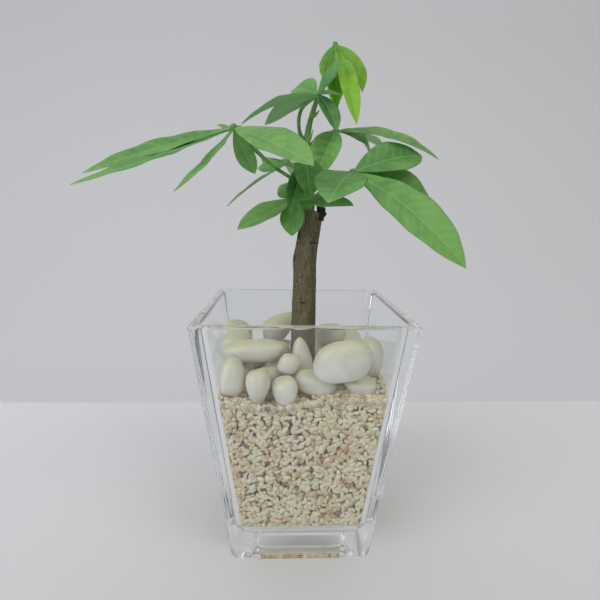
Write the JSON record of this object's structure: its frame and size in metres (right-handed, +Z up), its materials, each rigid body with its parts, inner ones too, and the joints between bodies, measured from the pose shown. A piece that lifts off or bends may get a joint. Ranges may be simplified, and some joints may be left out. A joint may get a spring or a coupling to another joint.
{
  "type": "potted money tree",
  "caption": "Small money tree with a cut trunk and palmate leaves in a tapered square clear glass vase of coral gravel topped with polished white pebbles; stands free.",
  "frame": {"origin": "middle of the bottom face of the whole object's bounding box, on the surface that the vase stands on", "axes": "+Z up, +X to the right and +Y away from the viewer, square to the vase's sides"},
  "size_m": [0.161, 0.1124, 0.2539],
  "materials": {
    "clear_glass": "clear pressed glass, polished",
    "coral_gravel": "crushed coral, matt, cream and beige with a few pink and grey grains",
    "white_pebble": "tumbled white quartz, softly polished",
    "bark": "thin grey-brown bark, matt, with fine dark pores",
    "green_stem": "young green shoot, satin",
    "leaf_bright": "young leaf, bright yellow-green, satin",
    "leaf_green": "grown leaf, mid green, satin with paler veins",
    "leaf_dark": "older or shaded leaf, dark green, satin"
  },
  "bodies": {
    "root": {"vase": "clear_glass", "gravel": "coral_gravel", "pebble_01": "white_pebble", "pebble_02": "white_pebble", "pebble_03": "white_pebble", "pebble_04": "white_pebble", "pebble_05": "white_pebble", "pebble_06": "white_pebble", "pebble_07": "white_pebble", "pebble_08": "white_pebble", "pebble_09": "white_pebble", "pebble_10": "white_pebble", "pebble_11": "white_pebble", "pebble_12": "white_pebble", "pebble_13": "white_pebble", "pebble_14": "white_pebble", "pebble_15": "white_pebble", "pebble_16": "white_pebble", "pebble_17": "white_pebble", "pebble_18": "white_pebble", "pebble_19": "white_pebble", "pebble_20": "white_pebble", "pebble_21": "white_pebble", "pebble_22": "white_pebble", "pebble_23": "white_pebble", "pebble_24": "white_pebble", "pebble_25": "white_pebble", "pebble_26": "white_pebble", "pebble_27": "white_pebble", "trunk": "bark", "shoot": "green_stem", "leaf_crown": "leaf_bright", "leaf_upper_left": "leaf_dark", "leaf_long_left": "leaf_green", "leaf_back_left": "leaf_dark", "leaf_lower_left": "leaf_dark", "leaf_inner": "leaf_dark", "leaf_upper_right": "leaf_green", "leaf_lower_right": "leaf_green"}
  },
  "joints": []
}
